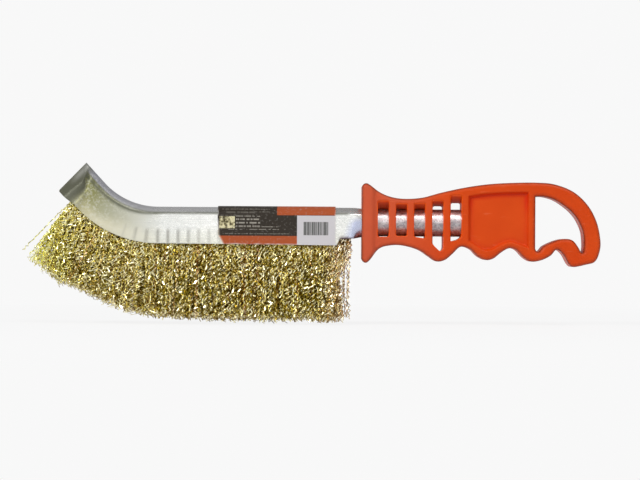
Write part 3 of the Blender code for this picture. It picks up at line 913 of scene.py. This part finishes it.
# Shares of each leg's painted shine: outer wires, forward-leaning legs and loose wires brighter, plus a random
# part.
outer_shine, flank_shine, mixed_shine, loose_shine = 0.40, 0.36, 0.40, 0.45
wander_spread, wander_limit = 2.2 * mm, 3.0 * mm
loose_share = 0.42
loose_from = 0.94
loose_reach, loose_limits = 1.8 * mm, (-4 * mm, 1 * mm)
forward_limit = -1.0 * mm
loose_lean, dense_lean = (0.35, 0.70), (0.80, 1.0)
ragged_reach, ragged_power = 3.6 * mm, 0.4
gathered_run = 11.5 * mm
gather_from, gather_length = 0.20, 0.32
fan_power, wander_power = 1.2, 1.5
hanging_share = 0.10
stray_share = 0.02
stray_reach = 3.5 * mm
tip_spread_power, tip_spread_range = 1.4, (0.90, 1.0)
tip_narrowing, narrow_run = 0.65, 4.0 * mm
trim_half_width = 10.0 * mm
front_lean = math.radians(22)
lean_start_share = 0.70
trim_place_shares = (0.0, 0.45, 0.66, 0.75, 0.81, 0.86, 0.90, 0.94, 1.0)
trim_reach_shares = (1.0, 1.0, 0.975, 0.944, 0.914, 0.898, 0.900, 0.925, 0.955)


def wire_paths(run, stream):
    """Zigzag paths of wires rooted at these lengths along the strip: along, y and depth at each bend.

    With q from 0 at the root to 1 at the tip, the depth grows from inside the channel to the trim
    line. The wire fans out sideways and wanders along the brush as powers of q. The roots' depths in
    the bunch follow the golden share, so they are spread evenly. The crimp adds plus and minus its
    height at every other bend, in a direction that turns slowly down the wire. The fourth array is
    the painted shine of each leg between two bends, painted highlight or shade in its colour: more
    outside the trim, on legs that lean forwards or are loose, and by chance.
    """
    uniform, normal = stream.uniform, stream.normal
    wires, bends = len(run), bends_per_wire + 1
    strip_share = run / strip_length
    uneven = uniform(-uneven_bends, uneven_bends, (wires, bends))
    uneven[:, 0] = uneven[:, -1] = 0.0
    q = ((np.arange(bends) + uneven) / bends_per_wire) ** uniform(*uneven_power, (wires, 1))
    side = np.where(np.arange(wires) % 2, 1.0, -1.0)
    narrowing = 1 - tip_narrowing * smoothstep((run - strip_length + narrow_run) / narrow_run)
    in_turn = (np.arange(wires) // 2 * golden_share + uniform(0.0, 1.0)) % 1.0
    root_y = side * root_half_width * narrowing * np.sqrt(0.004 + 0.996 * in_turn)
    outermost = np.abs(root_y / root_half_width)
    tip_y = side * tip_half_width * outermost**tip_spread_power * uniform(*tip_spread_range, wires)
    free = brush_height * np.interp(strip_share, trim_place_shares, trim_reach_shares) - mouth_depth
    ragged = ragged_reach * uniform(0.0, 1.0, wires) ** ragged_power
    lean = np.tan(front_lean) * np.clip((strip_share - lean_start_share) / (1 - lean_start_share), 0, 1)
    stands_off = uniform(0.0, 1.0, wires) < loose_share
    lean = lean * np.where(stands_off, uniform(*loose_lean, wires), uniform(*dense_lean, wires))
    gathered = gathered_run / 2 * np.clip(1 - run / gathered_run, 0.0, 1.0)
    gathered = gathered * (uniform(0.0, 1.0, wires) > hanging_share)
    stray = (uniform(0.0, 1.0, wires) < stray_share) * normal(0.0, stray_reach, wires)
    wander = np.clip(normal(0.0, wander_spread, wires), -wander_limit, wander_limit) + stray - lean * free
    at_tip = ease(strip_share, loose_from, 1 - loose_from)
    wander = wander + at_tip * np.clip(normal(0.0, loose_reach, wires), *loose_limits)
    wander = np.where(at_tip > 0, np.minimum(wander, forward_limit), wander)
    depth = mouth_depth - root_length + (free - ragged + root_length)[:, None] * q
    along = run[:, None] + wander[:, None] * q**wander_power
    along = along + gathered[:, None] * ease(q, gather_from, gather_length)
    y = root_y[:, None] + (tip_y - root_y)[:, None] * q**fan_power
    angle = uniform(0, 2 * math.pi, (wires, 1)) + normal(0, crimp_twist, (wires, 1)) * q
    zigzag = np.where((np.arange(bends) + stream.integers(0, 2, (wires, 1))) % 2, 1.0, -1.0)
    zigzag = zigzag * (crimp_height * uniform(*crimp_range, (wires, bends)) * smoothstep(q / crimp_run_in))
    shake = normal(0.0, crimp_jitter, (2, wires, bends))
    along = along + zigzag * np.cos(angle) + shake[0]
    y = np.clip(y + (zigzag * np.sin(angle) + shake[1]), -trim_half_width, trim_half_width)
    flank = np.clip(np.diff(along, axis=1) / full_flank, -1, 1)
    leg_shine = outer_shine * outermost[:, None] + mixed_shine * uniform(-1, 1, (wires, bends_per_wire))
    leg_shine = leg_shine + flank_shine * flank + loose_shine * (stands_off * at_tip)[:, None]
    return along, y, depth, leg_shine


def wire_tubes(along, y, depth, roll):
    """Three-sided tubes round the paths: at each bend a triangle square to the brush's depth.

    Its corners are at r (cos a forward + sin a sideways), with a = roll - 0, 1 or 2 thirds of a turn.
    """
    middle = along_line(strip_start + along, y, depth, mouth_depth)
    angle = turned_angle(strip_start + along, mouth_depth)
    forward = np.stack((-np.cos(angle), 0 * angle, np.sin(angle)), axis=-1)
    sideways = np.array((0.0, 1.0, 0.0))
    turn = (roll[..., None] - np.arange(3) * 2 * math.pi / 3)[..., None]
    ring = wire_radius * (np.cos(turn) * forward[..., None, :] + np.sin(turn) * sideways)
    points = middle[..., None, :] + ring
    points[..., 2] = np.maximum(points[..., 2], floor_gap)
    return points


# %% Build the bundles
def build_bundle(index):
    """All wires of one bundle as a single mesh that stands for the CAD's bundle."""
    stream = np.random.default_rng(first_seed + index)
    legs = np.arange(legs_per_bundle)
    place_in_bundle = (legs + stream.uniform(0.0, 1.0, legs_per_bundle)) / legs_per_bundle
    paths = wire_paths(strip_length / bundle_count * (index + place_in_bundle), stream)
    along, y, depth, leg_shine = paths
    first_roll = stream.uniform(0, 2 * math.pi, (legs_per_bundle, 1))
    roll = first_roll + np.cumsum(stream.normal(0, roll_step, along.shape), axis=1)
    levels = along.shape[1]
    first = legs[:, None, None] * levels * 3
    sides = (first + grid_faces(levels, 3, wrap=True)).reshape(-1, 4)
    root = (first + np.array(((0, 1, 2),))).reshape(-1, 3)
    tip = (first + (levels - 1) * 3 + np.array(((0, 2, 1),))).reshape(-1, 3)
    tubes = wire_tubes(along, y, depth, roll)
    bundle = mesh_object(f"wires_{index + 1:02d}", tubes, sides, root, tip)
    store_values(
        bundle,
        wire_tone=np.repeat(stream.uniform(0, 1, legs_per_bundle), levels * 3),
        down_wire=np.tile(np.repeat(np.linspace(0, 1, levels), 3), legs_per_bundle),
    )
    ends = np.zeros(2 * legs_per_bundle)
    store_values(bundle, "FACE", leg_shine=np.concatenate((np.repeat(leg_shine.ravel(), 3), ends)))
    bundle.data.shade_flat()
    finish_piece(bundle, "brass_plated_wire", brass, f"bristle_bundle_{index + 1:02d}")


for bundle_index in range(bundle_count):
    build_bundle(bundle_index)

# %% [markdown]
# ## Moulded handle
#
# The handle is one plastic moulding with a flat outline: a guard in front, finger bumps below and an
# open loop behind. Five windows show the tube, and each side has a sunken panel. The face of such a
# moulding is a height over the flat outline: it falls off in a round at every edge, and it sinks in
# the panel. So points are laid on the outline, on rings beside each edge and on a grid between them.
# A Delaunay net joins them, and each point then gets its height from its distance to the edges.

# %% Outlines of the handle, in shares of its length and of the guard's height
front_face_shares = ((0.0, -0.458), (0.0, 0.452))
outer_edge_shares = (
    (0.0, 0.452), (0.006, 0.481), (0.018, 0.496), (0.033, 0.477), (0.079, 0.378), (0.130, 0.320),
    (0.188, 0.302), (0.256, 0.320), (0.332, 0.382), (0.433, 0.449), (0.533, 0.493), (0.635, 0.512),
    (0.736, 0.516), (0.810, 0.493), (0.887, 0.400), (0.947, 0.231), (0.984, 0.022), (1.0, -0.210),
    (0.996, -0.358), (0.977, -0.477), (0.938, -0.516), (0.889, -0.545), (0.868, -0.512),
    (0.843, -0.383), (0.816, -0.329), (0.791, -0.405), (0.752, -0.463), (0.710, -0.480),
    (0.679, -0.430), (0.648, -0.336), (0.618, -0.314), (0.586, -0.364), (0.551, -0.446),
    (0.518, -0.463), (0.485, -0.416), (0.454, -0.328), (0.414, -0.300), (0.381, -0.388),
    (0.349, -0.466), (0.314, -0.485), (0.280, -0.424), (0.238, -0.342), (0.174, -0.288),
    (0.119, -0.287), (0.073, -0.331), (0.036, -0.468), (0.019, -0.508), (0.006, -0.490),
    (0.0, -0.458),
)
loop_edge_shares = ((0.727, 0.339), (0.727, -0.320))
loop_round_shares = (
    (0.727, -0.320), (0.733, -0.350), (0.741, -0.352), (0.749, -0.330), (0.764, -0.281),
    (0.804, -0.223), (0.839, -0.194), (0.869, -0.194), (0.889, -0.223), (0.907, -0.295),
    (0.921, -0.368), (0.927, -0.366), (0.931, -0.295), (0.930, -0.189), (0.925, -0.091),
    (0.909, 0.022), (0.887, 0.118), (0.855, 0.207), (0.810, 0.295), (0.764, 0.337),
    (0.727, 0.339),
)
panel_top_shares = ((0.443, 0.350), (0.500, 0.380), (0.560, 0.396), (0.625, 0.405), (0.702, 0.408))
panel_rear_shares = ((0.702, 0.408), (0.702, -0.330))
panel_foot_shares = (
    (0.702, -0.330), (0.655, -0.275), (0.618, -0.248), (0.580, -0.290), (0.548, -0.345),
    (0.514, -0.353), (0.480, -0.305), (0.443, -0.232),
)
panel_front_shares = ((0.443, -0.232), (0.443, 0.350))
window_shares = (
    (0.278, 0.160, -0.176, -0.176, -0.176),
    (0.243, 0.160, -0.165, -0.165, -0.165),
    (0.250, 0.160, -0.174, -0.190, -0.200),
    (0.284, 0.212, -0.264, -0.362, -0.325),
    (0.350, 0.253, -0.237, -0.205, -0.170),
)
window_low_point_share = 0.72
outline_step = 0.5 * mm


def smooth_stroke(knots):
    """Points through the knots: between two knots p1 and p2, with p0 before and p3 after, the curve is
    p1 + (p2 - p0) t/2 + (2 p0 - 5 p1 + 4 p2 - p3) t^2/2 + (3 p1 - p0 - 3 p2 + p3) t^3/2."""
    ends = np.vstack((2 * knots[0] - knots[1], knots, 2 * knots[-1] - knots[-2]))
    spans = []
    for p0, p1, p2, p3 in zip(ends, ends[1:], ends[2:], ends[3:]):
        count = max(1, round(float(np.linalg.norm(p2 - p1)) / outline_step))
        t = np.arange(count)[:, None] / count
        spans.append(
            p1 + (p2 - p0) * t / 2 + (2 * p0 - 5 * p1 + 4 * p2 - p3) * t**2 / 2
            + (3 * p1 - p0 - 3 * p2 + p3) * t**3 / 2
        )
    return np.vstack(spans)


def closed_line(*strokes):
    """Closed line of points in metres from strokes of shares of the handle's length and height."""
    size = np.array((handle_length, guard_height))
    return np.vstack([smooth_stroke(np.array(stroke) * size) for stroke in strokes])


def round_corners(corners, radius):
    """Closed line round a polygon with rounded corners.

    From a on one side, round the corner c, to b on the next side: a (1 - t)^2 + 2 c t (1 - t) + b t^2.
    The rest of each side gets evenly spaced points.
    """
    corners = np.array(corners)
    before, after = np.roll(corners, 1, axis=0), np.roll(corners, -1, axis=0)
    shares = [np.minimum(radius / np.linalg.norm(end - corners, axis=1), 0.4) for end in (before, after)]
    starts = corners + (before - corners) * shares[0][:, None]
    ends = corners + (after - corners) * shares[1][:, None]
    t = np.linspace(0, 1, 7)[:, None]
    between = np.linspace(0, 1, 14)[1:-1, None]
    parts = []
    for start, here, end, follow in zip(starts, corners, ends, np.roll(starts, -1, axis=0)):
        parts.append(start * (1 - t) ** 2 + here * 2 * t * (1 - t) + end * t**2)
        parts.append(end + (follow - end) * between)
    return np.vstack(parts)


outer_line = closed_line(front_face_shares, outer_edge_shares)
loop_line = closed_line(loop_edge_shares, loop_round_shares)
edge_lines = (outer_line, loop_line)
panel_line = closed_line(panel_top_shares, panel_rear_shares, panel_foot_shares, panel_front_shares)
mouth_lines = []
throat_lines = []
for index, shares in enumerate(window_shares):
    mouth_top, throat_top, left, low, right = (share * guard_height for share in shares)
    near_x = first_window + (window_width + window_bar) * index
    far_x = near_x + window_width
    low_x = near_x + window_width * window_low_point_share
    for top, inset, lines in ((mouth_top, 0.0, mouth_lines), (throat_top, window_draft, throat_lines)):
        left_x, right_x = near_x + inset, far_x - inset
        corners = ((left_x, top), (right_x, top), (right_x, right), (low_x, low), (left_x, left))
        lines.append(round_corners(corners, window_corner))
print("outline points:", len(outer_line), len(loop_line), len(panel_line), len(mouth_lines[0]))


# %% Distances and heights of the handle's face
def line_distance(points, line):
    """Shortest distance from each point p to a closed line of straight pieces from a to b.

    The nearest place on a piece is a + (b - a) t, with t = (p - a).(b - a) / |b - a|^2 held to 0..1.
    """
    piece = np.roll(line, -1, axis=0) - line
    offset = points[:, None, :] - line
    t = np.clip((offset * piece).sum(-1) / (piece**2).sum(-1), 0.0, 1.0)
    return np.sqrt(((offset - t[..., None] * piece) ** 2).sum(-1)).min(axis=1)


def nearest_of(points, lines):
    """Distance from each point to the nearest of several lines."""
    return np.min([line_distance(points, line) for line in lines], axis=0)


def inside(points, line):
    """True for points inside a closed line: a ray to +x crosses it an odd number of times."""
    x, y = points[:, None, 0], points[:, None, 1]
    after = np.roll(line, -1, axis=0)
    straddles = (line[:, 1] > y) != (after[:, 1] > y)
    rise = np.where(after[:, 1] == line[:, 1], 1.0, after[:, 1] - line[:, 1])
    crossing = line[:, 0] + (y - line[:, 1]) * (after[:, 0] - line[:, 0]) / rise
    return (straddles & (x < crossing)).sum(axis=1) % 2 == 1


def on_handle(points):
    """True for points on the plastic: inside the outer line, outside the loop and the windows."""
    found = inside(points, outer_line)
    for line in (loop_line, *mouth_lines):
        found &= ~inside(points, line)
    return found


def rounded(distance, radius):
    """Height of a quarter round above its foot: sqrt(r^2 - (r - d)^2)."""
    return np.sqrt(np.maximum(radius**2 - (radius - np.minimum(distance, radius)) ** 2, 0.0))


def panel_distance(points):
    """Distance to the panel's edge, positive inside the panel."""
    return line_distance(points, panel_line) * np.where(inside(points, panel_line), 1.0, -1.0)


def face_height(points):
    """Half thickness of the handle over each point: rounds at the edges, less the panel's depth.

    The guard is thicker than the grip, and slopes back to it.
    """
    height = grip_thickness / 2 - edge_round + rounded(nearest_of(points, edge_lines), edge_round)
    height = height - window_rim + rounded(nearest_of(points, mouth_lines), window_rim)
    height = height - panel_depth * smoothstep(panel_distance(points) / panel_wall)
    on_guard = smoothstep((guard_depth + guard_slope - points[:, 0]) / guard_slope)
    return height * (1 + (guard_thickness / grip_thickness - 1) * on_guard)


# %% Points for the handle's face
ring_slack = 0.02 * mm
edge_margin = 0.06 * mm
cell_size = 0.16 * mm
spacing, row_ratio = 1.5 * mm, 0.87
slope_spacing = 0.6 * mm
past_round, past_rim, past_panel = 0.25 * mm, 0.2 * mm, 0.2 * mm
panel_rings = 9
edge_clearance, rim_clearance = 0.7 * mm, 0.6 * mm
outside_panel, inside_panel = -0.8 * mm, panel_wall + 0.7 * mm


def both_sides(line, offset):
    """Rings on both sides of a line, square to its direction; the wrong ones are dropped later."""
    along = np.roll(line, -1, axis=0) - np.roll(line, 1, axis=0)
    along /= np.linalg.norm(along, axis=1, keepdims=True)
    across = offset * np.column_stack((along[:, 1], -along[:, 0]))
    return np.vstack((line + across, line - across))


round_steps = edge_round * (1 - np.cos(np.radians((18, 36, 54, 72, 90))))
rim_steps = window_rim * (1 - np.cos(np.radians((30, 60, 90))))
rings = []
for lines, steps in (
    (edge_lines, (*round_steps, edge_round + past_round)),
    (mouth_lines, (*rim_steps, window_rim + past_rim)),
):
    for step in steps:
        for line in lines:
            ring = both_sides(line, step)
            rings.append(ring[nearest_of(ring, lines) > step - ring_slack])
for step in np.linspace(-past_panel, panel_wall + past_panel, panel_rings):
    ring = both_sides(panel_line, step)
    rings.append(ring[np.abs(panel_distance(ring) - step) < ring_slack])

low, high = outer_line.min(axis=0), outer_line.max(axis=0)
columns, rows = np.arange(low[0], high[0], spacing), np.arange(low[1], high[1], spacing * row_ratio)
grid = np.stack(np.meshgrid(columns, rows), axis=-1)
grid[1::2, :, 0] += spacing / 2
grid = grid.reshape(-1, 2)
clear = nearest_of(grid, edge_lines) > edge_round + edge_clearance
clear &= nearest_of(grid, mouth_lines) > window_rim + rim_clearance
beside_panel = panel_distance(grid)
clear &= (beside_panel < outside_panel) | (beside_panel > inside_panel)
slope_columns = guard_depth + guard_slope * np.linspace(0.0, 1.0, 4)
slope_rows = np.arange(low[1], high[1], slope_spacing)
slope_grid = np.stack(np.meshgrid(slope_columns, slope_rows), axis=-1).reshape(-1, 2)

free_points = np.vstack((*rings, grid[clear], slope_grid))
free_points = free_points[on_handle(free_points)]
free_points = free_points[nearest_of(free_points, (*edge_lines, *mouth_lines)) > edge_margin]
cell = np.round(free_points / cell_size).astype(int)
_, first_in_cell = np.unique(cell, axis=0, return_index=True)
free_points = free_points[np.sort(first_in_cell)]
print("points on the face:", len(free_points))

# %% Net of the handle's face
border_edges = []
start = 0
for line in (*edge_lines, *mouth_lines):
    number = np.arange(len(line))
    border_edges += np.column_stack((start + number, start + (number + 1) % len(line))).tolist()
    start += len(line)
flat_points = np.vstack((*edge_lines, *mouth_lines, free_points))
net = geometry.delaunay_2d_cdt([Vector(p) for p in flat_points.tolist()], border_edges, [], 0, 1e-7)
net_points = np.array([tuple(p) for p in net[0]])
net_faces = np.array(net[2])
net_faces = net_faces[on_handle(net_points[net_faces].mean(axis=1))]
print("net:", len(net_points), "points,", len(net_faces), "triangles")


# %% Walls of the handle
wall_rows = 5
weld_distance = 0.004 * mm
shell = bmesh.new()


def stand_up(points, half_thickness):
    """Points of the handle's outline in the brush's frame, at a half thickness towards the viewer."""
    return np.column_stack((guard_x + points[:, 0], -half_thickness, tube_axis_z + points[:, 1]))


def add_to_shell(points, faces):
    """Add a patch and its mirror image on the other side of Y = 0."""
    for side in (1.0, -1.0):
        corners = [shell.verts.new((x, side * y, z)) for x, y, z in points.reshape(-1, 3).tolist()]
        for face in faces.tolist():
            shell.faces.new([corners[number] for number in face])


def open_edges(shape):
    """Number of edges that don't join exactly two faces."""
    return sum(not edge.is_manifold for edge in shape.edges)


add_to_shell(stand_up(net_points, face_height(net_points)), net_faces)
mix = np.linspace(0.0, 1.0, wall_rows)[:, None, None]
for mouth, foot in (*zip(edge_lines, edge_lines), *zip(mouth_lines, throat_lines)):
    upper = stand_up(mouth, face_height(mouth))
    lower = stand_up(foot, np.zeros(len(foot)))
    add_to_shell(upper + (lower - upper) * mix, grid_faces(wall_rows, len(mouth), wrap=True))
bmesh.ops.remove_doubles(shell, verts=shell.verts, dist=weld_distance)
bmesh.ops.recalc_face_normals(shell, faces=shell.faces)
print("open edges of the shell:", open_edges(shell))
handle = link_object("moulded_handle", bpy.data.meshes.new("moulded_handle"))
shell.to_mesh(handle.data)
shell.free()

# %% Bore for the tube
bore_gap = 0.05 * mm
bore_ends = (-tube_in_handle - fit_gap, -tube_run_in, round_off_length, shank_length)
bore_stations = spaced(bore_ends, (12, 12, 3))
bore_points = along_line(bore_stations[:, None], *steel_sections(bore_stations, bore_gap))
bore = mesh_object("bore", bore_points, grid_faces(len(bore_stations), section_points, wrap=True))
shape = bmesh.new()
shape.from_mesh(bore.data)
bmesh.ops.holes_fill(shape, edges=shape.edges)
bmesh.ops.triangulate(shape, faces=shape.faces)
bmesh.ops.recalc_face_normals(shape, faces=shape.faces)
shape.to_mesh(bore.data)
add_modifier(handle, "BOOLEAN", operation="DIFFERENCE", solver="EXACT", object=bore)
settle_modifiers(handle, sharp_degrees=32)
bpy.data.objects.remove(bore, do_unlink=True)
shape.clear()
shape.from_mesh(handle.data)
print("open edges of the handle:", open_edges(shape))
shape.free()

# %% Moulded plastic material
plastic, shader, place = new_material("handle_plastic")
near_edge, outline, in_corner, in_window = stored(
    plastic, "near_edge", "outline", "in_corner", "in_window"
)
x = put("SeparateXYZ", {0: place}).outputs[0]
grain = use_group(fine_grain, Position=place, Size=0.45 * mm, Detail=2.0)["Height"]
flow = noise(place, 45.0, 3.0)
worn = use_group(edge_wear, Position=place, Edge=near_edge, Size=3.0 * mm)["Mask"]
scratches = noise(stretch(place, 120.0, 500.0, 900.0, turn=0.5), 1.0, 4.0)
handled = remap(x, guard_x, guard_x + 42 * mm, 0.55, 0.0)
tone = layers(
    blend(remap(flow, 0.35, 0.65), (0.640, 0.056, 0.002), (0.700, 0.070, 0.004)),
    # Painted light: the face turns paler towards the guard.
    (handled, (0.53, 0.128, 0.070)),
    # Painted shade on the panel's walls, strongest on the upper side.
    (times(in_corner, 0.75), (0.64, 0.018, 0.0)),
    # Painted shade on the rounded edges.
    (times(near_edge, 0.50), (0.40, 0.052, 0.012)),
    # Painted highlight on the window rims.
    (times(in_window, 0.90), (1.0, 0.15, 0.008)),
    # Painted shade: a dark line along the outline.
    (times(outline, 0.90), (0.12, 0.022, 0.012)),
    (times(worn, 0.35), (0.78, 0.13, 0.035)),
    (remap(scratches, 0.66, 0.74, 0.0, 0.25), (0.80, 0.20, 0.09)),
)
fill(shader, {
    "Base Color": tone,
    "Roughness": remap(flow, 0.3, 0.7, 0.36, 0.48),
    "Specular IOR Level": 0.16,
    "Normal": bump(grain, 0.18),
})

# %% Finish the handle
face_from = 6 * mm
edge_width, outline_width, window_line = 1.8 * mm, 0.40 * mm, 0.25 * mm
lower_share, upper_from, upper_run = 0.30, 2 * mm, 9 * mm
handle_points = np.empty(len(handle.data.vertices) * 3)
handle.data.vertices.foreach_get("co", handle_points)
x, y, z = handle_points.reshape(-1, 3).T
flat = np.column_stack((x - guard_x, z - tube_axis_z))
to_edge, to_window = nearest_of(flat, edge_lines), nearest_of(flat, mouth_lines)
on_face = ease(np.abs(y), face_from, 1 * mm)
down_wall = panel_distance(flat) / panel_wall
upper_side = lower_share + (1 - lower_share) * ease(flat[:, 1], upper_from, upper_run)
# Masks of painted shade near the edges (near_edge also places the wear), along the outline and on the panel
# walls, and of the painted highlight on the window rims.
store_values(
    handle,
    near_edge=(1 - smoothstep(to_edge / edge_width)) * on_face,
    outline=np.exp(-((to_edge / outline_width) ** 2)) * on_face,
    in_window=1 - smoothstep(to_window / window_line),
    in_corner=smoothstep(1.6 * down_wall) * smoothstep(2.2 - down_wall) * upper_side,
)
finish_piece(handle, "handle_plastic", plastic, "grip_handle")

# %% [markdown]
# ## Boxes of the CAD and of the dressed brush
#
# The dressed brush should keep inside the CAD's box, so both boxes are printed side by side.

# %% Print both boxes
bpy.context.view_layer.update()
dressed_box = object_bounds()
boxes = {"cad": [list(corner) for corner in cad_box], "visual": [list(corner) for corner in dressed_box]}
for name, (lowest, highest) in boxes.items():
    print(name, [round(1000 * value, 1) for value in lowest + highest])
